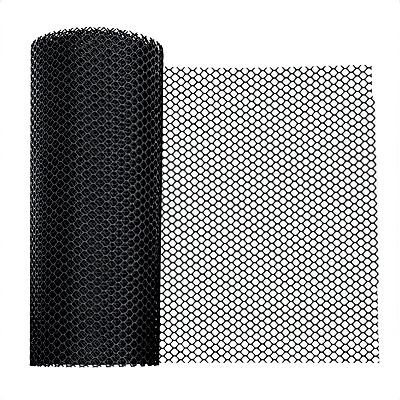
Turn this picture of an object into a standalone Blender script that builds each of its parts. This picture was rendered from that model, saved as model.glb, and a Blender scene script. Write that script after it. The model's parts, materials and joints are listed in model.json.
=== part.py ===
"""Roll of black plastic net, standing on end with its outer end pulled out to one side.

Metres, +Z up. The roll stands on the net's cut edge at z = 0. Seen from above, the net leaves the
roll at the back, towards +X. Plan positions are worked out about the roll's own axis, and both
pieces are then placed so that the origin is the middle of the bounding box's base.
"""

import math

import bmesh
import bpy
from mathutils import Vector

# The net
NET_WIDTH = 0.400  # edge to edge, so the height of the standing roll
NET_THICKNESS = 0.0025  # over the joints
CELL_LENGTH = 0.0158  # along the net, from joint to joint
CELLS_ACROSS = 38.24
STRAND_WIDTH = 0.0016
JOINT_LENGTH = 0.0027
TIP_SHARE = 0.37  # of a cell that stands past the last joints at an edge

# The wound part
ROLL_RADIUS = 0.0827  # to the outside of the outer turn, where the loose end leaves it
TURN_STEP = 0.0026  # radius lost in each turn
TURNS = 11 + 1 / 8
SLACK = 0.0012  # extra room under the outer turn, which is less tight than the rest
SLACK_FROM = 0.75  # turns from the outer end
SLACK_TO = 1.10
FLARE = 0.054  # how much wider the roll is at the top than at the bottom
ROUND_STEPS = 96  # in one turn

# The loose end
LEAVE_DIRECTION = math.radians(105.0)  # of the point where the net leaves, about the roll's axis
LEAVE_ANGLE = math.radians(15.0)  # between +X and the net there
BOW_ANGLE = math.radians(21.5)  # that the net then turns back through, towards the front
STRAIGHT_OUT = 0.045  # from the roll to the bow
BOW_LENGTH = 0.220
FREE_LENGTH = 0.389
SHEET_THICKNESS = 0.002
END_GAP = 0.0003  # between the loose end and the end face of the roll's outer turn

# Its holes, cut at twice the net's own pitch, so in half the number each way
COARSENESS = 2
HOLE_COLUMNS = 16
CUT_PAST_JOINT = 0.0008  # from the middle of the last joints to the cut end
PLAIN_MARGIN = 0.006  # from the uncut strip's last line to the first holes
PLAIN_STEPS = 4  # along the uncut strip, which lies behind the roll

COLUMN = COARSENESS * CELL_LENGTH / 2
ROW = COARSENESS * NET_WIDTH / CELLS_ACROSS
WEB = COARSENESS * STRAND_WIDTH
BAR = COARSENESS * JOINT_LENGTH

BLACK = (0.010, 0.010, 0.012, 1.0)
GLOSS_ROUGHNESS = 0.34


def wound_radius(turns):
    """Radius of the net's middle this many turns in from its outer end, at half height."""
    share = min(max((turns - SLACK_FROM) / (SLACK_TO - SLACK_FROM), 0.0), 1.0)
    slack = SLACK * share * share * (3 - 2 * share)
    return ROLL_RADIUS - NET_THICKNESS / 2 - TURN_STEP * turns - slack


def flare(z):
    """The roll's size at this height as a share of its size at half height."""
    return 1 + FLARE * (z / NET_WIDTH - 0.5)


def around(radius, turns):
    """Plan position at a radius, this many turns in from the outer end."""
    angle = LEAVE_DIRECTION + 2 * math.pi * turns
    return Vector((radius * math.cos(angle), radius * math.sin(angle), 0.0))


def loose_place(along, out, z):
    """Place on the loose end: along it from the roll, out from its middle, and its height."""
    bow_radius = BOW_LENGTH / BOW_ANGLE
    first = min(along, STRAIGHT_OUT)
    bowed = min(max(along - STRAIGHT_OUT, 0.0), BOW_LENGTH)
    last = max(along - STRAIGHT_OUT - BOW_LENGTH, 0.0)
    heading = LEAVE_ANGLE - bowed / bow_radius
    x = first * math.cos(LEAVE_ANGLE) + last * math.cos(heading)
    x += bow_radius * (math.sin(LEAVE_ANGLE) - math.sin(heading))
    y = first * math.sin(LEAVE_ANGLE) + last * math.sin(heading)
    y += bow_radius * (math.cos(heading) - math.cos(LEAVE_ANGLE))
    outwards = Vector((-math.sin(heading), math.cos(heading), 0.0))
    start = around(wound_radius(0), 0) * flare(z)
    return start + Vector((x, y, z)) + outwards * out


def plastic(name):
    material = bpy.data.materials.new(name)
    material.use_nodes = True
    shader = material.node_tree.nodes["Principled BSDF"]
    shader.inputs["Base Color"].default_value = BLACK
    shader.inputs["Roughness"].default_value = GLOSS_ROUGHNESS
    shader.inputs["Metallic"].default_value = 0.0
    return material


def finish(bm, name):
    """Turns a finished bmesh into a named object with its own material."""
    bmesh.ops.recalc_face_normals(bm, faces=bm.faces)
    mesh = bpy.data.meshes.new(name)
    bm.to_mesh(mesh)
    bm.free()
    mesh.materials.append(plastic(name + "_plastic"))
    obj = bpy.data.objects.new(name, mesh)
    bpy.context.scene.collection.objects.link(obj)
    return obj


def new_verts(extruded):
    return [item for item in extruded["geom"] if isinstance(item, bmesh.types.BMVert)]


def wound_roll():
    """The wound form as one solid: an upright wall, with a step at each end of the net."""
    bm = bmesh.new()
    half = NET_THICKNESS / 2
    whole_turns = math.floor(TURNS)
    inner_end = round((TURNS - whole_turns) * ROUND_STEPS)

    def corner(radius, step):
        return bm.verts.new(around(radius, step / ROUND_STEPS) * flare(0.0))

    outer = []
    for step in range(ROUND_STEPS + 1):
        outer.append(corner(wound_radius(step / ROUND_STEPS) + half, step))
    inner = []
    for step in range(ROUND_STEPS):
        turns = whole_turns - (step > inner_end) + step / ROUND_STEPS
        inner.append(corner(wound_radius(turns) - half, step))
    inner.append(inner[0])
    beside_end = corner(wound_radius(TURNS - 1) - half, inner_end)

    # Where the net's outer end leaves, three corners are in line: the step's two and the bore's.
    base = [
        bm.faces.new((outer[0], outer[1], outer[-1])),
        bm.faces.new((outer[-1], outer[1], inner[1], inner[0])),
    ]
    for step in range(1, ROUND_STEPS):
        start = beside_end if step == inner_end else inner[step]
        end = beside_end if step == inner_end - 1 else inner[step + 1]
        base.append(bm.faces.new((outer[step], outer[step + 1], end, start)))
    # The same holds at its inner end, inside the bore.
    base.append(bm.faces.new((beside_end, inner[inner_end], inner[inner_end - 1])))

    for vert in new_verts(bmesh.ops.extrude_face_region(bm, geom=base)):
        vert.co *= flare(NET_WIDTH) / flare(0.0)
        vert.co.z = NET_WIDTH
    roll = finish(bm, "wound_roll")
    roll.data.shade_smooth()
    roll.data.set_sharp_from_angle(angle=math.radians(30))
    return roll


def hole_corners():
    """A hole's six corners about its middle, half a strand in from the lines of the net."""
    run = COLUMN - BAR
    rise = ROW / 2
    high = rise - WEB / 2
    side = BAR / 2 + run - WEB / 2 * math.hypot(run, rise) / rise
    shoulder = side - high * run / rise
    return {
        "right": (side, 0.0),
        "upper right": (shoulder, high),
        "upper left": (-shoulder, high),
        "left": (-side, 0.0),
        "lower left": (-shoulder, -high),
        "lower right": (shoulder, -high),
    }


def flat_net(bm):
    """Strands and joints of the flat net in the XZ plane, and the uncut strip before them."""
    corners = hole_corners()
    made = {}

    def middle(column, row):
        """The middle of a hole. An odd column's holes stand half a row higher."""
        to_end = COLUMN * (HOLE_COLUMNS - column) + CUT_PAST_JOINT
        up = TIP_SHARE + 0.5 + row + (column % 2) / 2
        return FREE_LENGTH - to_end, ROW * up

    def vert(hole, corner):
        if (hole, corner) not in made:
            along, up = middle(*hole)
            dx, dz = corners[corner]
            made[hole, corner] = bm.verts.new((along + dx, 0.0, up + dz))
        return made[hole, corner]

    def face(*hole_and_corner_pairs):
        bm.faces.new([vert(hole, corner) for hole, corner in hole_and_corner_pairs])

    rows = range(-1, math.ceil(CELLS_ACROSS / COARSENESS))
    for column in range(HOLE_COLUMNS + 1):
        odd = column % 2
        for row in rows:
            here, above = (column, row), (column, row + 1)
            face((here, "upper left"), (here, "upper right"), (above, "lower right"), (above, "lower left"))
            if column > 0:
                beside = (column - 1, row + odd)
                face((here, "upper left"), (above, "lower left"), (beside, "right"))
            if column < HOLE_COLUMNS:
                over, under = (column + 1, row + odd), (column + 1, row - 1 + odd)
                face((here, "upper right"), (over, "left"), (above, "lower right"))
                face((here, "upper right"), (here, "right"), (over, "lower left"), (over, "left"))
                face((here, "right"), (here, "lower right"), (under, "left"), (under, "upper left"))

    # The strip's lines have a point level with each hole's middle and one level with each joint.
    strip_end = middle(0, 0)[0] + corners["left"][0] - PLAIN_MARGIN
    lines = []
    for step in range(PLAIN_STEPS + 1):
        along = END_GAP + (strip_end - END_GAP) * step / PLAIN_STEPS
        levels = [middle(0, rows[0])[1] + ROW / 2 * level for level in range(2 * len(rows) + 1)]
        lines.append([bm.verts.new((along, 0.0, level)) for level in levels])
    for near, far in zip(lines, lines[1:]):
        for level in range(2 * len(rows)):
            bm.faces.new((near[level], far[level], far[level + 1], near[level + 1]))
    for n, row in enumerate(rows):
        here, above = (0, row), (0, row + 1)
        beside_hole, beside_joint, beside_next = lines[-1][2 * n : 2 * n + 3]
        bm.faces.new((beside_hole, vert(here, "left"), vert(here, "upper left"), beside_joint))
        bm.faces.new((beside_joint, vert(here, "upper left"), vert(above, "lower left")))
        bm.faces.new((beside_joint, vert(above, "lower left"), vert(above, "left"), beside_next))


def loose_end():
    """The sheet that shows: made flat with its holes, trimmed, thickened and then bowed."""
    bm = bmesh.new()
    flat_net(bm)
    trims = (
        ((0.0, 0.0, 0.0), (0.0, 0.0, -1.0)),
        ((0.0, 0.0, NET_WIDTH), (0.0, 0.0, 1.0)),
        ((FREE_LENGTH, 0.0, 0.0), (1.0, 0.0, 0.0)),
    )
    for place, outwards in trims:
        everything = bm.verts[:] + bm.edges[:] + bm.faces[:]
        bmesh.ops.bisect_plane(
            bm, geom=everything, dist=1e-6, plane_co=place, plane_no=outwards, clear_outer=True
        )
    for vert in bm.verts:
        vert.co.y = -SHEET_THICKNESS / 2
    for vert in new_verts(bmesh.ops.extrude_face_region(bm, geom=bm.faces[:])):
        vert.co.y = SHEET_THICKNESS / 2
    for vert in bm.verts:
        vert.co = loose_place(*vert.co)
    return finish(bm, "loose_end")


def stand_on_origin(objects):
    """Moves the objects together so that the middle of their box's base is the origin."""
    points = [vert.co for obj in objects for vert in obj.data.vertices]
    lowest = Vector([min(point[axis] for point in points) for axis in range(3)])
    highest = Vector([max(point[axis] for point in points) for axis in range(3)])
    middle = (lowest + highest) / 2
    for obj in objects:
        obj.location = (-middle.x, -middle.y, -lowest.z)


def main():
    for obj in list(bpy.data.objects):
        bpy.data.objects.remove(obj, do_unlink=True)
    stand_on_origin([wound_roll(), loose_end()])


main()
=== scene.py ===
"""Roll of black plastic net, standing on end with its outer end pulled out to one side.

Each length of net is modelled flat: one cell is shaped, repeated, rounded and trimmed, and
the whole length is then wound or pulled out. On the flat net, X runs along it (zero where it leaves
the roll, positive towards its free end, negative into the roll), Y is the side that faces out of
the roll and Z is up.
"""

import json
import math

import bpy
import numpy as np
from bpy.props import FloatProperty, FloatVectorProperty, IntProperty, PointerProperty
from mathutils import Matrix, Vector

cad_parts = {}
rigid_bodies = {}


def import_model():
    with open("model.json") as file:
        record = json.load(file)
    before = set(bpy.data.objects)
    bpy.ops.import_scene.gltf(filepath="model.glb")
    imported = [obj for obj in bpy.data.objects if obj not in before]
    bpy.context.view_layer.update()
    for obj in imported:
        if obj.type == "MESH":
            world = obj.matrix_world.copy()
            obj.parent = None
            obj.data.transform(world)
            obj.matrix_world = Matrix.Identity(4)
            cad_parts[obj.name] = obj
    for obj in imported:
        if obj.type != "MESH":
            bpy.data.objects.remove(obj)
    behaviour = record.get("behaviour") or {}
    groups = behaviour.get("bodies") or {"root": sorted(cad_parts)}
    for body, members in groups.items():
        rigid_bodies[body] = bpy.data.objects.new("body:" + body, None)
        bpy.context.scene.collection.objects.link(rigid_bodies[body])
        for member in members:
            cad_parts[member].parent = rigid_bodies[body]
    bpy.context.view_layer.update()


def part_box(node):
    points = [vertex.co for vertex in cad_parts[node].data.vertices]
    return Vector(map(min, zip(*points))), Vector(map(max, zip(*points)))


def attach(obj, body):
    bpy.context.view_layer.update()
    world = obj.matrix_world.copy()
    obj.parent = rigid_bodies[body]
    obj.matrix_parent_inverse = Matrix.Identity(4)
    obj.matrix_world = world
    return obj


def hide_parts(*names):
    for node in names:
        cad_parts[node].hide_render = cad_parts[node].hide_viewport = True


bl_info = {
    "name": "Roll of Plastic Net",
    "version": (1, 0, 0),
    "blender": (4, 5, 0),
    "location": "3D View > Sidebar > Net Roll",
    "description": "Models a standing roll of plastic net with its outer end pulled out",
    "category": "Add Mesh",
}

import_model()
ROLL_LOW, ROLL_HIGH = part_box("wound_roll")

# The net's thickness in the solids. The winding goes by it, so that both have the same plan.
CAD_THICKNESS = 0.0025

# Where one state of the net in the roll gives way to the next, in turns from its outer end
SLACK_OPENS = (0.75, 1.10)
SECOND_TURN_RISES = (0.7, 1.1)
SECOND_TURN_RISE_FADES = (2.0, 4.0)
THIRD_TURN_BEGINS = (1.85, 2.15)
LINES_DRIFT = (0.0, 0.5)
LINES_STEP_DOWN = (0.7, 1.2)
WAVER_BEGINS = (0.0, 0.15)
RIM_WAVE_BEGINS = (0.0, 0.2)
RIM_SLOPE_TURNS = 5.0  # from the third turn in

# The same up the net, in shares of its width
FOOT_LIFT_FADES = (0.0, 0.30)
SAG_FADES = (0.40, 1.0)
RIM_TURN_BEGINS = (0.65, 1.0)
RIM_LIFT_BEGINS = (0.78, 1.0)
CURLED_SHARE = 0.02

# The same in metres, along the net from where it leaves the roll, or across it from an edge
SHIFTS_BEGIN = (0.0, 0.03)
LEAN_BEGINS = (0.0, 0.12)
EDGE_ZONE = (0.0, 0.02)

# Small waves that shift the cells: how far, radians for each metre along and up, and phase
SHIFTS_ALONG = ((0.00022, 211, 97, 0.0), (0.00016, 67, -233, 1.3))
SHIFTS_ACROSS = ((0.00020, 173, -61, 0.6), (0.00014, 41, 307, 2.1))
# Waves of a turn about its true round: share, count in a turn, and how far their phase goes on, in
# radians for each turn further in and each metre up
WAVER_WAVES = ((1.0, 3, 0.5, 9.0), (0.6, 5, -0.4, -14.0))
RIM_WAVE_DROP = 0.1  # share of its wave that the rim lies lower all round

WINDING_STEPS = 8000  # in the table that turns a length of net into turns
MERGE_DISTANCE = 1e-5  # between points that two cells share
CUT_THRESHOLD = 1e-7  # distance at which a point counts as on a cut
OFF_JOINT = 0.1  # share of a joint that a cut between two pieces stands off its middle

# The loose end
SPREAD_MIDDLE = 0.65  # share of its holes' length that lies before the column that doesn't spread
CUT_SHORT_AT_FOOT = (0.100, 0.110)  # heights over which its shorter cut near the foot ends
CUT_SHORT_AT_TOP = (0.350, 0.360)  # heights over which its shorter cut near the top begins

# The plastic's surface
CREASE_ANGLE = math.radians(40)
PATCHES_PER_METRE = 34.0
GRAINS_PER_METRE = 1500.0
GRAIN_DEPTH = 0.00003
GRAIN_STRENGTH = 0.4
LINE_STRENGTH = 0.5
LINE_STRETCH = 20  # length of a die line over its width
NOISE_RANGE = (0.3, 0.7)  # that most of a noise texture's values lie in
LAY_RANGE = (-0.3, 0.3)  # over which one set of die lines gives way to the other

# The stage
WHITE = (1.0, 1.0, 1.0, 1.0)
FLOOR_REFLECTS = 0.3  # of the light that falls on it
FLOOR_BRIGHTENS = (0.3, 1.0)  # metres from its middle
BACKDROP_SHARE = 0.99  # of the floor's radius, so that the floor's own edge is out of sight
ROOM_COLOUR = (0.97, 0.98, 1.0, 1.0)
LIGHT_COLOUR = (0.92, 0.94, 1.0)
AIM_HEIGHT = 0.22
# Degrees round from the front, height over the aim, distance from it, diameter and watts
LIGHTS = {
    "key light": (55.0, 0.20, 1.7, 2.0, 96.0),
    "middle light": (0.0, 0.20, 1.7, 2.0, 84.0),
    "fill light": (-52.0, 0.15, 1.7, 2.0, 50.0),
    "left side light": (-98.0, 0.3, 1.7, 1.4, 18.0),
    "right side light": (100.0, 0.3, 1.7, 1.4, 19.0),
    "left edge light": (-130.0, 0.3, 1.6, 0.9, 14.0),
    "right edge light": (128.0, 0.3, 1.8, 0.8, 17.0),
    "top light": (0.0, 2.2, 0.4, 2.0, 6.0),
}
LIGHT_ON_ALL = "top light"  # the others are on the roll alone
DISPLAY_GAMMA = 2.2

# The camera, fitted to the net's joints in the photograph: low in front, looking slightly up
CAMERA_FROM_AXIS = (0.12877, -1.32347)
CAMERA_HEIGHT = 0.04231
CAMERA_TILT = 0.09388  # radians up from level
CAMERA_LENS = 96.22  # millimetres, as is the sensor's width
CAMERA_SENSOR = 36.0
CAMERA_RANGE = (0.05, 50.0)  # nearest and furthest that it sees
CAMERA_SHIFT = 0.075  # that moves the picture down, as a share of its width


class NetSizes(bpy.types.PropertyGroup):
    """The net as it lies flat"""

    width: FloatProperty(
        name="Width",
        description="Edge to edge, the height of the standing roll",
        default=ROLL_HIGH.z - ROLL_LOW.z,
        unit="LENGTH",
    )
    cell_length: FloatProperty(
        name="Cell Length",
        description="Along the net, from joint to joint",
        default=0.0158,
        unit="LENGTH",
    )
    cells_across: FloatProperty(name="Cells Across", description="From edge to edge", default=38.24)
    strand_width: FloatProperty(
        name="Strand Width",
        description="Of one strand between joints",
        default=0.00162,
        unit="LENGTH",
    )
    joint_length: FloatProperty(
        name="Joint Length",
        description="Where two strands run together",
        default=0.0028,
        unit="LENGTH",
    )
    thickness: FloatProperty(
        name="Thickness", description="Of the net over its joints", default=0.0024, unit="LENGTH"
    )
    flat_share: FloatProperty(
        name="Flat Share",
        description="Share of a strand's width that its flat face takes",
        default=0.60,
        subtype="FACTOR",
    )
    crown: FloatProperty(
        name="Crown",
        description="Share of half its thickness that the flat face is crowned by",
        default=0.06,
        subtype="FACTOR",
    )
    roundness: FloatProperty(
        name="Roundness",
        description="Of a hole, from its six lines to a circle",
        default=0.35,
        subtype="FACTOR",
    )
    thinning: FloatProperty(
        name="Thinning",
        description="Share of its thickness that a strand loses halfway",
        default=0.10,
        subtype="FACTOR",
    )
    layer_step: FloatProperty(
        name="Layer Step",
        description="How far each of the two crossing sets of strands stands off the middle",
        default=0.0002,
        unit="LENGTH",
    )
    tip_share: FloatProperty(
        name="Tip Share",
        description="Share of a cell past the last joints at an edge",
        default=0.37,
        subtype="FACTOR",
    )


class RollSizes(bpy.types.PropertyGroup):
    """The net that is wound up"""

    radius: FloatProperty(
        name="Radius",
        description="To the outside of the outer turn, at half height",
        default=0.0827,
        unit="LENGTH",
    )
    turns: FloatProperty(name="Turns", description="Of net in the roll", default=11 + 1 / 8)
    fine_turns: FloatProperty(
        name="Fine Turns", description="Outer turns whose strands are rounded", default=1.25
    )
    seen_turns: FloatProperty(
        name="Seen Turns", description="Outer turns that show through the holes", default=4.25
    )
    turn_step: FloatProperty(
        name="Turn Step", description="Radius lost in each turn", default=0.0026, unit="LENGTH"
    )
    slack: FloatProperty(
        name="Slack", description="Extra room under the outer turn", default=0.0027, unit="LENGTH"
    )
    core_shift: FloatProperty(
        name="Core Shift",
        description="How far the inner turns stand to the left in the outer one",
        default=0.0006,
        unit="LENGTH",
    )
    flare: FloatProperty(
        name="Flare",
        description="How much wider the top is than the bottom",
        default=0.054,
        subtype="FACTOR",
    )
    outer_turn_cells: FloatProperty(
        name="Outer Turn Cells", description="Cells in the outer turn", default=31.38
    )
    cells_lost: FloatProperty(
        name="Cells Lost",
        description="How many cells fewer each turn takes than the last",
        default=1.034,
    )
    slack_cells: FloatProperty(
        name="Slack Cells",
        description="Cells that the slack takes from each turn after the outer one",
        default=0.415,
    )
    tight_cells: FloatProperty(
        name="Tight Cells",
        description="Cells that it takes besides from each turn after the second",
        default=0.44,
    )
    lean: FloatProperty(
        name="Lean",
        description="How far the net's lines sink for each metre wound in",
        default=0.0120,
        unit="LENGTH",
    )
    inner_lean: FloatProperty(
        name="Inner Lean",
        description="How far they sink for each metre further in than that",
        default=0.0110,
        unit="LENGTH",
    )
    lean_turns: FloatProperty(
        name="Lean Turns", description="Where the one gives way to the other", default=1.5
    )
    step_down: FloatProperty(
        name="Step Down",
        description="How much further they sink behind the roll",
        default=0.0041,
        unit="LENGTH",
    )
    lift: FloatProperty(
        name="Lift",
        description="How far they rise near the roll's top",
        default=0.0018,
        unit="LENGTH",
    )
    sag: FloatProperty(
        name="Sag",
        description="How much lower they are in the lower half of the roll",
        default=0.0038,
        unit="LENGTH",
    )
    rim_lift: FloatProperty(
        name="Rim Lift",
        description="How much further they rise at the rim",
        default=0.0022,
        unit="LENGTH",
    )
    foot_lift: FloatProperty(
        name="Foot Lift",
        description="How much higher they are at the foot",
        default=0.0020,
        unit="LENGTH",
    )
    slant: FloatProperty(
        name="Slant",
        description="How far the columns of holes lean, as a share of height",
        default=-0.0170,
    )
    rim_turn: FloatProperty(
        name="Rim Turn",
        description="How far they turn back again at the rim",
        default=0.0030,
        unit="LENGTH",
    )
    rise: FloatProperty(
        name="Rise",
        description="How far the second turn stands up past the outer one",
        default=0.0006,
        unit="LENGTH",
    )
    rim_wave: FloatProperty(
        name="Rim Wave",
        description="How far the cut at the top strays from level",
        default=0.0020,
        unit="LENGTH",
    )
    rim_fall: FloatProperty(
        name="Rim Fall",
        description="How much lower all but the two outer turns are at the top",
        default=0.0012,
        unit="LENGTH",
    )
    rim_slope: FloatProperty(
        name="Rim Slope",
        description="How much lower again each of the next five turns is",
        default=0.0004,
        unit="LENGTH",
    )
    foot_gap: FloatProperty(
        name="Foot Gap",
        description="How far all but the two outer turns are off the floor",
        default=0.0025,
        unit="LENGTH",
    )
    rim_curl: FloatProperty(
        name="Rim Curl",
        description="How far the cut edge at the top curls in",
        default=0.0018,
        unit="LENGTH",
    )
    waver: FloatProperty(
        name="Waver",
        description="How far a turn strays from its true round",
        default=0.0003,
        unit="LENGTH",
    )


class EndSizes(bpy.types.PropertyGroup):
    """The loose end"""

    leave_direction: FloatProperty(
        name="Leave Direction",
        description="Of the point where the net leaves, about the roll's axis",
        default=math.radians(105.0),
        subtype="ANGLE",
    )
    leave_angle: FloatProperty(
        name="Leave Angle",
        description="Of the net to +X there",
        default=math.radians(15.0),
        subtype="ANGLE",
    )
    bow_angle: FloatProperty(
        name="Bow Angle",
        description="That the net then turns back through",
        default=math.radians(21.5),
        subtype="ANGLE",
    )
    straight_out: FloatProperty(
        name="Straight Out", description="From the roll to the bow", default=0.045, unit="LENGTH"
    )
    bow_length: FloatProperty(
        name="Bow Length", description="Along the net", default=0.220, unit="LENGTH"
    )
    length: FloatProperty(
        name="Length", description="From the roll to the free end", default=0.389, unit="LENGTH"
    )
    last_column: FloatProperty(
        name="Last Column",
        description="Middle of the last whole column of holes",
        default=0.3837,
        unit="LENGTH",
    )
    cut_past: FloatProperty(
        name="Cut Past",
        description="How far past that column the free end is cut",
        default=0.0065,
        unit="LENGTH",
    )
    foot_short: FloatProperty(
        name="Foot Short",
        description="How much shorter the cut is near the foot",
        default=0.0021,
        unit="LENGTH",
    )
    top_short: FloatProperty(
        name="Top Short",
        description="How much shorter the cut is near the top",
        default=0.0030,
        unit="LENGTH",
    )
    slant: FloatProperty(
        name="Slant",
        description="How far the columns of holes lean, as a share of height",
        default=-0.011,
    )
    spread: FloatProperty(
        name="Spread",
        description="How much further apart the columns are at the top, for each metre",
        default=0.057,
    )
    sag: FloatProperty(
        name="Sag", description="Of the holes at half height", default=0.0019, unit="LENGTH"
    )


class NetLook(bpy.types.PropertyGroup):
    """The net's plastic"""

    colour: FloatVectorProperty(
        name="Colour",
        description="Of the plastic",
        default=(0.003, 0.003, 0.0035),
        size=3,
        subtype="COLOR",
    )
    dusty_colour: FloatVectorProperty(
        name="Dusty Colour",
        description="Where the surface is dull",
        default=(0.007, 0.007, 0.0075),
        size=3,
        subtype="COLOR",
    )
    glossy: FloatProperty(
        name="Glossy", description="Lowest roughness", default=0.32, subtype="FACTOR"
    )
    dull: FloatProperty(
        name="Dull", description="Highest roughness", default=0.42, subtype="FACTOR"
    )
    shine: FloatProperty(
        name="Shine",
        description="Specular level of the outer turn and the loose end",
        default=0.54,
        subtype="FACTOR",
    )
    # Painted shade: the turns inside get this lower specular level, so they look darker as if in
    # the outer turn's shade; their plastic is the same as the outer turn's.
    painted_shade_inner_shine: FloatProperty(
        name="Inner Shine",
        description="Specular level of the turns inside, which are duller",
        default=0.43,
        subtype="FACTOR",
    )
    line_spacing: FloatProperty(
        name="Line Spacing",
        description="Between the fine lines along a strand",
        default=0.0003,
        unit="LENGTH",
    )
    line_depth: FloatProperty(
        name="Line Depth", description="Of those lines", default=0.00003, unit="LENGTH"
    )


class StageLook(bpy.types.PropertyGroup):
    """The floor, the backdrop and the picture's finish"""

    floor_radius: FloatProperty(
        name="Floor Radius", description="Of the round floor", default=6.0, unit="LENGTH"
    )
    brightness: FloatProperty(
        name="Brightness", description="Of the backdrop and the far floor", default=1.0
    )
    near_floor: FloatProperty(
        name="Near Floor", description="Brightness of the floor under the roll", default=0.98
    )
    surround: FloatProperty(
        name="Surround", description="Brightness of the room round the part", default=0.02
    )
    gamma: FloatProperty(
        name="Gamma", description="Of the picture, where less is deeper", default=0.62
    )
    black_point: FloatProperty(
        name="Black Point", description="Light that the picture shows as black", default=0.049
    )
    sharpness: FloatProperty(
        name="Sharpness", description="Of the picture's finish", default=0.32, subtype="FACTOR"
    )


def activate(obj):
    """Makes this the only selected object, so that an operator acts on it alone."""
    bpy.ops.object.select_all(action="DESELECT")
    obj.select_set(True)
    bpy.context.view_layer.objects.active = obj


def apply_modifier(obj, kind, **values):
    """Adds a modifier with these settings and applies it."""
    modifier = obj.modifiers.new(kind.title(), kind)
    for name, value in values.items():
        setattr(modifier, name, value)
    bpy.ops.object.modifier_apply(modifier=modifier.name)


def places(obj):
    """The mesh's points as three rows of numbers: x, y and z."""
    flat = np.empty(len(obj.data.vertices) * 3)
    obj.data.vertices.foreach_get("co", flat)
    return flat.reshape(-1, 3).T.copy()


def place(obj, x, y, z):
    """Moves the mesh's points to these places."""
    obj.data.vertices.foreach_set("co", np.stack([x, y, z], axis=1).ravel())
    obj.data.update()


def smooth_step(value, stretch):
    """Goes from 0 to 1 as the value goes through the stretch, and is level outside it."""
    start, end = stretch
    share = np.clip((value - start) / (end - start), 0.0, 1.0)
    return share * share * (3 - 2 * share)


def select_points(obj, wanted):
    """Selects the mesh's points that pass a test, and nothing else."""
    for part in (*obj.data.edges, *obj.data.polygons):
        part.select = False
    for vert in obj.data.vertices:
        vert.select = wanted(vert.co)


def model_cell(net, finish):
    """One cell, as the faces between its hole and the lines along the middles of its strands.

    A whole cell is round all the way. An outer cell is plainer on -Y, the side that is wound
    inwards, a facing cell also has straight lines, and a plain cell is plain on both sides.
    """
    straight_lines = finish in {"facing", "plain"}
    column, row = net.cell_length / 2, net.width / net.cells_across
    corner = column - net.joint_length / 2
    shoulder = net.joint_length / 2
    inset, depth = net.strand_width / 2, net.thickness / 2
    # The flat face's rim is this far off the middle, and a point this near to a level is on it.
    rim, reach = depth * (1 - net.crown), depth * net.crown / 2
    bpy.ops.object.select_all(action="DESELECT")
    bpy.ops.mesh.primitive_circle_add(
        vertices=6,
        radius=corner,
        fill_type="NGON",
        location=(0, -depth, 0),
        rotation=(math.pi / 2, math.pi / 2, 0),
    )
    cell = bpy.context.object
    bpy.ops.object.transform_apply(location=True, rotation=True, scale=True)
    # The four corners off the middle line move from their places on an even hexagon to the net's.
    select_points(cell, lambda spot: abs(spot.z) > row / 10)
    bpy.ops.object.mode_set(mode="EDIT")
    bpy.ops.transform.resize(
        value=(shoulder / (corner / 2), 1.0, row / 2 / (corner * math.sin(math.pi / 3))),
        center_override=(0, -depth, 0),
    )
    bpy.ops.mesh.select_all(action="SELECT")
    if not straight_lines:
        # A point in the middle of each side lets strands round off and cross over one another.
        bpy.ops.mesh.subdivide(number_cuts=1)
        bpy.ops.mesh.select_all(action="SELECT")
    if finish != "plain":
        bpy.ops.mesh.inset(thickness=inset * net.flat_share, depth=-depth * net.crown)
        bpy.ops.mesh.inset(thickness=inset * (1 - net.flat_share), depth=-rim)
    else:
        bpy.ops.mesh.inset(thickness=inset, depth=-depth)
    bpy.ops.mesh.delete(type="ONLY_FACE")
    bpy.ops.object.mode_set(mode="OBJECT")
    if not straight_lines:
        # The hole is rounder than its six lines, on the face and halfway through.
        for level in (-rim, 0.0):
            select_points(cell, lambda spot: abs(spot.y - level) < reach)
            bpy.ops.object.mode_set(mode="EDIT")
            bpy.ops.transform.tosphere(value=net.roundness)
            bpy.ops.object.mode_set(mode="OBJECT")
    apply_modifier(cell, "MIRROR", use_axis=(False, True, False), merge_threshold=MERGE_DISTANCE)
    if finish in {"outer", "facing"}:
        # The side that is wound inwards does without the rim of its flat face.
        select_points(cell, lambda spot: abs(spot.y + rim) < reach)
        bpy.ops.object.mode_set(mode="EDIT")
        bpy.ops.mesh.dissolve_edges(use_verts=True)
        bpy.ops.object.mode_set(mode="OBJECT")
    return cell


def repeat(obj, count, offset):
    """Repeats a piece of net at this offset, joined to itself."""
    apply_modifier(
        obj,
        "ARRAY",
        count=count,
        use_relative_offset=False,
        use_constant_offset=True,
        constant_offset_displace=offset,
        use_merge_vertices=True,
        merge_threshold=MERGE_DISTANCE,
    )


def trim(obj, point, outwards):
    """Cuts the net through and closes the cut ends of its strands."""
    activate(obj)
    bpy.ops.object.mode_set(mode="EDIT")
    bpy.ops.mesh.select_all(action="SELECT")
    bpy.ops.mesh.bisect(
        plane_co=point, plane_no=outwards, use_fill=True, clear_outer=True, threshold=CUT_THRESHOLD
    )
    bpy.ops.mesh.select_all(action="DESELECT")
    bpy.ops.object.mode_set(mode="OBJECT")


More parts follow.
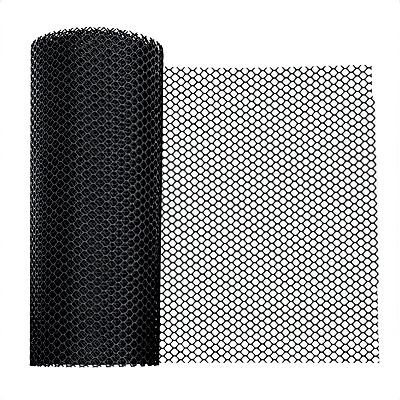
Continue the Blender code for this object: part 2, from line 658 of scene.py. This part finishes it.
def sheet_of_cells(context, name, start, end, finish):
    """More than enough joined cells for the net from start to end, untrimmed.

    Each point keeps its flat place, and its lay: above zero on the strands that rise with X, below
    zero on those that fall, and zero at the joints.
    """
    net, roll, loose = context.scene.net_sizes, context.scene.roll_sizes, context.scene.end_sizes
    column, row = net.cell_length / 2, net.width / net.cells_across
    # Columns are counted from the last whole one, and the first is an even number before it.
    first = math.floor((start - loose.last_column) / column) - 1
    first -= first % 2
    pairs = math.ceil((end - loose.last_column) / column / 2 - first / 2) + 1
    # Lines sink on their way in, so that the net needs more rows than it is wide.
    sunk = roll.lean * max(-start, 0.0) + roll.step_down + roll.sag
    rows = math.ceil((net.width + sunk) / row) + 2

    piece = model_cell(net, finish)
    piece.name = name
    piece.data.name = name
    # Every odd column stands half a row lower.
    repeat(piece, 2, (column, 0.0, -row / 2))
    repeat(piece, rows, (0.0, 0.0, row))
    repeat(piece, pairs, (column * 2, 0.0, 0.0))
    bpy.ops.object.mode_set(mode="EDIT")
    bpy.ops.mesh.select_all(action="SELECT")
    bpy.ops.mesh.remove_doubles(threshold=MERGE_DISTANCE)
    bpy.ops.object.mode_set(mode="OBJECT")

    x, y, z = places(piece)
    lay = -np.sin(math.pi * x / column) * np.sin(2 * math.pi * z / row)
    y = y * (1 - net.thinning * lay * lay) + net.layer_step * lay
    x += loose.last_column + column * first
    z += row * net.tip_share
    attributes = piece.data.attributes
    attributes.new("lay", "FLOAT", "POINT").data.foreach_set("value", lay)
    flat_places = np.stack([x, z, y], axis=1).ravel()
    attributes.new("flat_place", "FLOAT_VECTOR", "POINT").data.foreach_set("vector", flat_places)
    place(piece, x, y, z)
    return piece


def drifted(net, roll, x, z):
    """Heights of the net's lines as they sink, lift and sag along the roll."""
    turn_length = roll.outer_turn_cells * net.cell_length
    outer_run = np.clip(-x, 0.0, turn_length * roll.lean_turns)
    inner_run = np.maximum(-x, 0.0) - outer_run
    z = z - (roll.lean * outer_run + roll.inner_lean * inner_run)
    z -= roll.step_down * smooth_step(-x / turn_length, LINES_STEP_DOWN)
    height = z / net.width
    raised = roll.lift - roll.sag * (1 - smooth_step(height, SAG_FADES))
    raised += roll.rim_lift * smooth_step(height, RIM_LIFT_BEGINS)
    raised += roll.foot_lift * (1 - smooth_step(height, FOOT_LIFT_FADES))
    return z + raised * smooth_step(-x / turn_length, LINES_DRIFT)


def level_cut(x):
    """An edge that is cut level all along."""
    return 0.0 * x


def flat_net(
    context, name, start, end, finish, free_cut=None, foot_cut=level_cut, top_cut=level_cut
):
    """A flat length of net, trimmed at both edges and both ends.

    start and end are places along the whole net. free_cut gives how far past the last whole column
    of holes the free end is cut, at each height, and foot_cut and top_cut how far from level the
    two edges are cut, at each place along.
    """
    net, roll, loose = context.scene.net_sizes, context.scene.roll_sizes, context.scene.end_sizes
    piece = sheet_of_cells(context, name, start, end, finish)
    x, y, z = places(piece)
    place(piece, x, y, drifted(net, roll, x, z))

    # An uneven edge is shifted until it is straight, cut and put back.
    for cut, edge, outwards in ((foot_cut, 0.0, -1), (top_cut, net.width, 1)):
        x, y, z = places(piece)
        place(piece, x, y, z - cut(x))
        trim(piece, (0, 0, edge), (0, 0, outwards))
        x, y, z = places(piece)
        place(piece, x, y, z + cut(x))
    trim(piece, (start, 0, 0), (-1, 0, 0))
    if free_cut is None:
        trim(piece, (end, 0, 0), (1, 0, 0))
    else:
        x, y, z = places(piece)
        place(piece, x - free_cut(z), y, z)
        trim(piece, (loose.last_column, 0, 0), (1, 0, 0))
        x, y, z = places(piece)
        place(piece, x + free_cut(z), y, z)
    return piece


def hand_drawn(x, z, width):
    """Small shifts along and across the net, as its cells are never quite alike."""
    along, across = (
        sum(size * np.sin(x * by_x + z * by_z + phase) for size, by_x, by_z, phase in waves)
        for waves in (SHIFTS_ALONG, SHIFTS_ACROSS)
    )
    return along, across * smooth_step(z, EDGE_ZONE) * smooth_step(width - z, EDGE_ZONE)


def roll_axis(context):
    """Plan position of the roll's own axis, worked out from how far the solid reaches.

    It reaches furthest at its top, and to the left and the front by the radius that it has there.
    """
    roll, loose = context.scene.roll_sizes, context.scene.end_sizes
    left, front = math.pi, math.pi * 3 / 2
    reach_left, reach_front = (
        (roll.radius - roll.turn_step * (angle - loose.leave_direction) / (2 * math.pi))
        * (1 + roll.flare / 2)
        for angle in (left, front)
    )
    return ROLL_LOW.x + reach_left, ROLL_LOW.y + reach_front


def flare_at(net, roll, z):
    """The roll's size at this height as a share of its size at half height."""
    return 1 + roll.flare * (z / net.width - 0.5)


def wound_radius(roll, turns):
    """Radius of the net's middle this many turns in from its outer end, at half height."""
    slack = roll.slack * smooth_step(turns, SLACK_OPENS)
    return roll.radius - CAD_THICKNESS / 2 - roll.turn_step * turns - slack


def cells_after(roll, turns):
    """How many cells are wound up in this many turns. Each turn takes fewer than the last."""
    first_turn = roll.outer_turn_cells + roll.cells_lost / 2
    cells = first_turn * turns - roll.cells_lost * turns * turns / 2
    cells = cells - roll.slack_cells * np.maximum(turns - 1, 0.0)
    return cells - roll.tight_cells * np.maximum(turns - 2, 0.0)


def turns_after(roll, cells):
    """How many turns it takes to wind up this many cells."""
    turns = np.linspace(0.0, roll.turns + 1, WINDING_STEPS)
    return np.interp(cells, cells_after(roll, turns), turns)


def wind(context, piece):
    """Winds a flat length of net into its place in the roll."""
    net, roll, loose = context.scene.net_sizes, context.scene.roll_sizes, context.scene.end_sizes
    x, out, z = places(piece)
    along, across = hand_drawn(x, z, net.width)
    shifted = smooth_step(-x, SHIFTS_BEGIN)
    lean = roll.slant * (z - net.width / 2)
    lean += roll.rim_turn * smooth_step(z / net.width, RIM_TURN_BEGINS)
    along = along * shifted + lean * smooth_step(-x, LEAN_BEGINS)
    turns = turns_after(roll, np.maximum(-(x + along), 0.0) / net.cell_length)
    angle = loose.leave_direction + 2 * math.pi * turns

    waver = sum(
        share * np.sin(count * angle + by_turn * turns + by_z * z)
        for share, count, by_turn, by_z in WAVER_WAVES
    )
    out = out + roll.waver * waver * smooth_step(turns, WAVER_BEGINS)
    below_rim = (net.width - z) / (net.width * CURLED_SHARE)
    out -= roll.rim_curl * np.square(np.clip(1 - below_rim, 0.0, 1.0))
    radius = wound_radius(roll, turns) * flare_at(net, roll, z) + out

    rise = roll.rise * smooth_step(turns, SECOND_TURN_RISES)
    rise *= 1 - smooth_step(turns, SECOND_TURN_RISE_FADES)
    # How far in a point is: it moves the inner turns by the core shift, and in the plastic it also
    # gives them painted shade, a lower specular level that stands in for the outer turn's shade.
    inside = smooth_step(turns, SLACK_OPENS)
    piece.data.attributes.new("inside", "FLOAT", "POINT").data.foreach_set("value", inside)
    axis_x, axis_y = roll_axis(context)
    place(
        piece,
        axis_x - roll.core_shift * inside + radius * np.cos(angle),
        axis_y + radius * np.sin(angle),
        z + rise + across * shifted,
    )


def pull_out(context, piece):
    """Bows a flat length of net into the loose end's place."""
    net, roll, loose = context.scene.net_sizes, context.scene.roll_sizes, context.scene.end_sizes
    x, out, z = places(piece)
    along, across = hand_drawn(x, z, net.width)
    away = smooth_step(x, LEAN_BEGINS)
    lean = loose.slant + loose.spread * (x - loose.last_column * SPREAD_MIDDLE)
    x = x + lean * (z - net.width / 2) * away + along * away

    bow_radius = loose.bow_length / loose.bow_angle
    first = np.minimum(x, loose.straight_out)
    bowed = np.clip(x - loose.straight_out, 0.0, loose.bow_length)
    last = np.maximum(x - loose.straight_out - loose.bow_length, 0.0)
    leave = loose.leave_angle
    heading = leave - bowed / bow_radius
    plan_x = first * math.cos(leave) + last * np.cos(heading)
    plan_x += bow_radius * (math.sin(leave) - np.sin(heading))
    plan_y = first * math.sin(leave) + last * np.sin(heading)
    plan_y += bow_radius * (np.cos(heading) - math.cos(leave))

    axis_x, axis_y = roll_axis(context)
    start = wound_radius(roll, 0.0) * flare_at(net, roll, z)
    plan_x += axis_x + start * math.cos(loose.leave_direction) - np.sin(heading) * out
    plan_y += axis_y + start * math.sin(loose.leave_direction) + np.cos(heading) * out
    sag = loose.sag * np.sin(math.pi * z / net.width)
    place(piece, plan_x, plan_y, z + (across - sag) * away)


def add_node(tree, kind, **values):
    """A new node, with these of its inputs and settings filled in."""
    node = tree.nodes.new(kind)
    for name, value in values.items():
        if name in node.inputs:
            node.inputs[name].default_value = value
        else:
            setattr(node, name, value)
    return node


def noise(tree, spot, **values):
    """A noise texture's value at each spot."""
    texture = add_node(tree, "ShaderNodeTexNoise", **values)
    tree.links.new(spot, texture.inputs["Vector"])
    return texture.outputs["Fac"]


def carried_over(tree, value, taken, given):
    """A value carried over from one range to another."""
    ranges = {"From Min": taken[0], "From Max": taken[1], "To Min": given[0], "To Max": given[1]}
    node = add_node(tree, "ShaderNodeMapRange", **ranges)
    tree.links.new(value, node.inputs["Value"])
    return node.outputs["Result"]


def lines_along(tree, flat, turn, spacing):
    """Fine lines along one set of strands, which this turn brings level on the flat net."""
    turned = add_node(tree, "ShaderNodeVectorRotate", rotation_type="Z_AXIS", Angle=turn)
    tree.links.new(flat, turned.inputs["Vector"])
    stretched = add_node(tree, "ShaderNodeVectorMath", operation="MULTIPLY")
    stretched.inputs[1].default_value = (1 / spacing / LINE_STRETCH, 1 / spacing, 1 / spacing)
    tree.links.new(turned.outputs["Vector"], stretched.inputs[0])
    return noise(tree, stretched.outputs["Vector"], Scale=1.0, Detail=1.0)


def die_lines(context, tree):
    """Lines that the die leaves along each strand, at the strand's own slope."""
    net, look = context.scene.net_sizes, context.scene.net_look
    run = net.cell_length / 2 - net.joint_length
    slope = math.atan2(net.width / net.cells_across / 2, run)
    flat = add_node(tree, "ShaderNodeAttribute", attribute_name="flat_place").outputs["Vector"]
    lay = add_node(tree, "ShaderNodeAttribute", attribute_name="lay").outputs["Fac"]
    line = add_node(tree, "ShaderNodeMix", data_type="FLOAT")
    tree.links.new(carried_over(tree, lay, LAY_RANGE, (0.0, 1.0)), line.inputs["Factor"])
    tree.links.new(lines_along(tree, flat, -slope, look.line_spacing), line.inputs[2])
    tree.links.new(lines_along(tree, flat, slope, look.line_spacing), line.inputs[3])
    return line.outputs[0]


def net_plastic(context):
    """Black plastic, glossy and dull in patches, with fine lines along its strands, and painted
    shade on the turns inside as a lower specular level.
    """
    if "Net Plastic" in bpy.data.materials:
        return bpy.data.materials["Net Plastic"]
    look = context.scene.net_look
    material = bpy.data.materials.new("Net Plastic")
    material.use_nodes = True
    tree = material.node_tree
    links = tree.links
    shader = tree.nodes["Principled BSDF"]
    spot = add_node(tree, "ShaderNodeTexCoord").outputs["Object"]
    patches = noise(tree, spot, Scale=PATCHES_PER_METRE, Detail=4.0, Roughness=0.6)
    grain = noise(tree, spot, Scale=GRAINS_PER_METRE, Detail=3.0, Roughness=0.6)

    colour = add_node(tree, "ShaderNodeMix", data_type="RGBA")
    colour.inputs[6].default_value = (*look.colour, 1.0)
    colour.inputs[7].default_value = (*look.dusty_colour, 1.0)
    links.new(patches, colour.inputs["Factor"])
    links.new(colour.outputs[2], shader.inputs["Base Color"])

    roughness = carried_over(tree, patches, NOISE_RANGE, (look.glossy, look.dull))
    links.new(roughness, shader.inputs["Roughness"])

    drawn = add_node(tree, "ShaderNodeBump", Strength=LINE_STRENGTH, Distance=look.line_depth)
    links.new(die_lines(context, tree), drawn.inputs["Height"])
    bump = add_node(tree, "ShaderNodeBump", Strength=GRAIN_STRENGTH, Distance=GRAIN_DEPTH)
    links.new(grain, bump.inputs["Height"])
    links.new(drawn.outputs["Normal"], bump.inputs["Normal"])
    links.new(bump.outputs["Normal"], shader.inputs["Normal"])

    # Painted shade: the turns inside get a lower specular level than the outer turn and the loose
    # end, standing in for the outer turn's shade on them.
    inside = add_node(tree, "ShaderNodeAttribute", attribute_name="inside").outputs["Fac"]
    shine = carried_over(tree, inside, (0.0, 1.0), (look.shine, look.painted_shade_inner_shine))
    links.new(shine, shader.inputs["Specular IOR Level"])
    return material


def finish_net(context, piece, node, crisp):
    """Outward faces, smooth shading, the plastic and the piece's place in the frame.

    Crisp shading keeps cut ends flat.
    """
    activate(piece)
    bpy.ops.object.mode_set(mode="EDIT")
    bpy.ops.mesh.select_all(action="SELECT")
    bpy.ops.mesh.normals_make_consistent(inside=False)
    bpy.ops.mesh.select_all(action="DESELECT")
    bpy.ops.object.mode_set(mode="OBJECT")
    if crisp:
        bpy.ops.object.shade_smooth_by_angle(angle=CREASE_ANGLE)
    else:
        bpy.ops.object.shade_smooth()
    piece.data.materials.clear()
    piece.data.materials.append(net_plastic(context))
    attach(piece, "root")
    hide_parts(node)


def make_turns(context, name, from_turn, to_turn, pieces, finish):
    """Winds this part of the roll, in pieces that meet at columns of holes."""
    net, roll, loose = context.scene.net_sizes, context.scene.roll_sizes, context.scene.end_sizes
    column = net.cell_length / 2

    def cut_at(turn):
        """Where along the net it is cut, close to this many turns in."""
        if turn <= 0:
            return 0.0
        along = -float(cells_after(roll, turn)) * net.cell_length
        if turn >= roll.turns:
            return along
        columns = round((along - loose.last_column) / column)
        return loose.last_column + columns * column + net.joint_length * OFF_JOINT

    def turns_at(x):
        return turns_after(roll, np.maximum(-x, 0.0) / net.cell_length)

    def foot_cut(x):
        return roll.foot_gap * smooth_step(turns_at(x), THIRD_TURN_BEGINS)

    def top_cut(x):
        # Higher at the front and the back of the roll, lower at its sides, and lower further in.
        turns = turns_at(x)
        from_front = loose.leave_direction + 2 * math.pi * turns + math.pi / 2
        wave = np.cos(2 * from_front) - RIM_WAVE_DROP
        wave = roll.rim_wave * wave * smooth_step(turns, RIM_WAVE_BEGINS)
        fall = roll.rim_fall * smooth_step(turns, THIRD_TURN_BEGINS)
        return wave - fall - roll.rim_slope * np.clip(turns - 2, 0.0, RIM_SLOPE_TURNS)

    # The pieces are of equal lengths of net, so the turns that part them are worked out from cells.
    outer_cells, inner_cells = (float(cells_after(roll, turn)) for turn in (from_turn, to_turn))
    shares = [number / pieces for number in range(1, pieces)]
    parting_cells = [outer_cells + (inner_cells - outer_cells) * share for share in shares]
    parting_turns = [float(turns_after(roll, cells)) for cells in parting_cells]
    ends = [cut_at(turn) for turn in (from_turn, *parting_turns, to_turn)]
    for number, (outer, inner) in enumerate(zip(ends, ends[1:]), start=1):
        piece = flat_net(
            context, f"{name}_{number}", inner, outer, finish, foot_cut=foot_cut, top_cut=top_cut
        )
        wind(context, piece)
        finish_net(context, piece, "wound_roll", finish != "plain")


class NETROLL_OT_loose_end(bpy.types.Operator):
    """Model the end of the net that is pulled out to the right"""

    bl_idname = "netroll.loose_end"
    bl_label = "Loose End"

    def execute(self, context):
        net, loose = context.scene.net_sizes, context.scene.end_sizes

        def free_cut(z):
            # The cut runs short of the next joints near both edges.
            foot = loose.foot_short * (1 - smooth_step(z, CUT_SHORT_AT_FOOT))
            return loose.cut_past - foot - loose.top_short * smooth_step(z, CUT_SHORT_AT_TOP)

        end = loose.last_column + 2 * loose.cut_past
        piece = flat_net(context, "net_loose_end", 0.0, end, "whole", free_cut)
        pull_out(context, piece)
        finish_net(context, piece, "loose_end", True)
        return {"FINISHED"}


class NETROLL_OT_outer_turns(bpy.types.Operator):
    """Model the outer turns of the roll, whose strands show best"""

    bl_idname = "netroll.outer_turns"
    bl_label = "Outer Turns"

    pieces: IntProperty(name="Pieces", description="That the turns are made in", default=2, min=1)

    def execute(self, context):
        roll = context.scene.roll_sizes
        make_turns(context, "net_outer_turn", 0.0, roll.fine_turns, self.pieces, "outer")
        return {"FINISHED"}


class NETROLL_OT_next_turns(bpy.types.Operator):
    """Model the turns that show through the outer one's holes"""

    bl_idname = "netroll.next_turns"
    bl_label = "Next Turns"

    pieces: IntProperty(name="Pieces", description="That the turns are made in", default=2, min=1)

    def execute(self, context):
        roll = context.scene.roll_sizes
        turns = roll.fine_turns, roll.seen_turns
        make_turns(context, "net_next_turns", *turns, self.pieces, "facing")
        return {"FINISHED"}


class NETROLL_OT_inner_turns(bpy.types.Operator):
    """Model the rest of the turns, down to the hollow of the roll"""

    bl_idname = "netroll.inner_turns"
    bl_label = "Inner Turns"

    pieces: IntProperty(name="Pieces", description="That the turns are made in", default=2, min=1)

    def execute(self, context):
        roll = context.scene.roll_sizes
        turns = roll.seen_turns, roll.turns
        make_turns(context, "net_inner_turns", *turns, self.pieces, "plain")
        return {"FINISHED"}


class NETROLL_OT_stage(bpy.types.Operator):
    """Set up the pale floor and backdrop, the soft lights and the camera"""

    bl_idname = "netroll.stage"
    bl_label = "Stage"

    def execute(self, context):
        stage = context.scene.stage_look
        floor_and_backdrop(stage)
        lights(context, stage)
        picture_finish(context, stage)
        camera(context)
        return {"FINISHED"}


def white(name, reflecting):
    """A white material that glows, and reflects this share of the light on it."""
    material = bpy.data.materials.new(name)
    material.use_nodes = True
    shader = material.node_tree.nodes["Principled BSDF"]
    shader.inputs["Base Color"].default_value = (reflecting, reflecting, reflecting, 1.0)
    shader.inputs["Roughness"].default_value = 0.9
    shader.inputs["Emission Color"].default_value = WHITE
    return material, shader


def floor_and_backdrop(stage):
    """A white floor that takes a soft shadow, and runs without a seam into a white backdrop."""
    bpy.ops.object.select_all(action="DESELECT")
    bpy.ops.mesh.primitive_circle_add(
        vertices=64, radius=stage.floor_radius, fill_type="NGON", location=(0, 0, 0)
    )
    floor = bpy.context.object
    floor.name = "floor"
    material, shader = white("Floor White", FLOOR_REFLECTS)
    tree = material.node_tree
    distance = add_node(tree, "ShaderNodeVectorMath", operation="LENGTH")
    tree.links.new(add_node(tree, "ShaderNodeTexCoord").outputs["Object"], distance.inputs[0])
    brightness = (stage.near_floor, stage.brightness)
    glow = carried_over(tree, distance.outputs["Value"], FLOOR_BRIGHTENS, brightness)
    tree.links.new(glow, shader.inputs["Emission Strength"])
    floor.data.materials.append(material)

    bpy.ops.object.select_all(action="DESELECT")
    bpy.ops.mesh.primitive_uv_sphere_add(
        segments=64,
        ring_count=32,
        radius=stage.floor_radius * BACKDROP_SHARE,
        location=(0, 0, 0),
    )
    backdrop = bpy.context.object
    backdrop.name = "backdrop"
    material, shader = white("Backdrop White", 0.0)
    shader.inputs["Emission Strength"].default_value = stage.brightness
    backdrop.data.materials.append(material)
    backdrop.visible_shadow = False
    for part in (floor, backdrop):
        part.visible_diffuse = False
        part.visible_glossy = False


def lights(context, stage):
    """A faint room, and soft round lights about the roll."""
    world = bpy.data.worlds.new("Soft Room")
    world.use_nodes = True
    background = world.node_tree.nodes["Background"]
    background.inputs["Color"].default_value = ROOM_COLOUR
    background.inputs["Strength"].default_value = stage.surround
    context.scene.world = world
    # The loose end is kept out of the lights that are on the roll.
    on_roll = bpy.data.collections.new("Lit Roll")
    for piece in bpy.data.objects:
        if piece.name.startswith(("net_outer", "net_next", "net_inner")):
            on_roll.objects.link(piece)
    aim = Vector((*roll_axis(context), AIM_HEIGHT))
    for name, (azimuth, height, distance, size, power) in LIGHTS.items():
        turn = math.radians(azimuth)
        data = bpy.data.lights.new(name, "AREA")
        data.shape = "DISK"
        data.size = size
        data.energy = power
        data.color = LIGHT_COLOUR
        lamp = bpy.data.objects.new(name, data)
        away = Vector((math.sin(turn) * distance, -math.cos(turn) * distance, height))
        lamp.location = aim + away
        lamp.rotation_euler = (aim - lamp.location).to_track_quat("-Z", "Y").to_euler()
        context.scene.collection.objects.link(lamp)
        if name != LIGHT_ON_ALL:
            lamp.light_linking.receiver_collection = on_roll


def picture_finish(context, stage):
    """Deep blacks and crisp strands, as the photograph has."""
    scene = context.scene
    scene.view_settings.view_transform = "Standard"
    scene.view_settings.gamma = stage.gamma
    scene.view_settings.use_curve_mapping = True
    levels = scene.view_settings.curve_mapping
    levels.black_level = (stage.black_point,) * 3
    levels.update()

    # The strands are sharpened as they are seen, so light is put on the picture's scale and back.
    scene.use_nodes = True
    tree = scene.node_tree
    seen_scale = 1 / DISPLAY_GAMMA / stage.gamma
    steps = (
        tree.nodes["Render Layers"],
        add_node(tree, "CompositorNodeGamma", Gamma=seen_scale),
        add_node(tree, "CompositorNodeFilter", filter_type="SHARPEN_DIAMOND", Fac=stage.sharpness),
        add_node(tree, "CompositorNodeGamma", Gamma=1 / seen_scale),
        tree.nodes["Composite"],
    )
    for before, after in zip(steps, steps[1:]):
        tree.links.new(before.outputs["Image"], after.inputs["Image"])


def camera(context):
    """The photograph's viewpoint."""
    data = bpy.data.cameras.new("camera")
    data.sensor_width = CAMERA_SENSOR
    data.lens = CAMERA_LENS
    data.shift_y = CAMERA_SHIFT
    data.clip_start, data.clip_end = CAMERA_RANGE
    eye = bpy.data.objects.new("camera", data)
    axis_x, axis_y = roll_axis(context)
    from_axis_x, from_axis_y = CAMERA_FROM_AXIS
    eye.location = (axis_x + from_axis_x, axis_y + from_axis_y, CAMERA_HEIGHT)
    eye.rotation_euler = (math.pi / 2 + CAMERA_TILT, 0.0, 0.0)
    context.scene.collection.objects.link(eye)
    context.scene.camera = eye


class NETROLL_PT_sidebar(bpy.types.Panel):
    """The steps and sizes of the roll of net"""

    bl_label = "Net Roll"
    bl_idname = "NETROLL_PT_sidebar"
    bl_space_type = "VIEW_3D"
    bl_region_type = "UI"
    bl_category = "Net Roll"

    def draw(self, context):
        for operator in STEPS:
            self.layout.operator(operator.bl_idname)
        for attribute, group in GROUPS.items():
            settings = getattr(context.scene, attribute)
            box = self.layout.box()
            for name in group.__annotations__:
                box.prop(settings, name)


GROUPS = {
    "net_sizes": NetSizes,
    "roll_sizes": RollSizes,
    "end_sizes": EndSizes,
    "net_look": NetLook,
    "stage_look": StageLook,
}
STEPS = (
    NETROLL_OT_loose_end,
    NETROLL_OT_outer_turns,
    NETROLL_OT_next_turns,
    NETROLL_OT_inner_turns,
    NETROLL_OT_stage,
)


def register():
    for attribute, group in GROUPS.items():
        bpy.utils.register_class(group)
        setattr(bpy.types.Scene, attribute, PointerProperty(type=group))
    for step in (*STEPS, NETROLL_PT_sidebar):
        bpy.utils.register_class(step)


def unregister():
    for step in reversed((*STEPS, NETROLL_PT_sidebar)):
        bpy.utils.unregister_class(step)
    for attribute, group in reversed(GROUPS.items()):
        delattr(bpy.types.Scene, attribute)
        bpy.utils.unregister_class(group)


def main():
    register()
    bpy.ops.netroll.loose_end()
    bpy.ops.netroll.outer_turns()
    bpy.ops.netroll.next_turns()
    bpy.ops.netroll.inner_turns()
    bpy.ops.netroll.stage()


if __name__ == "__main__":
    main()
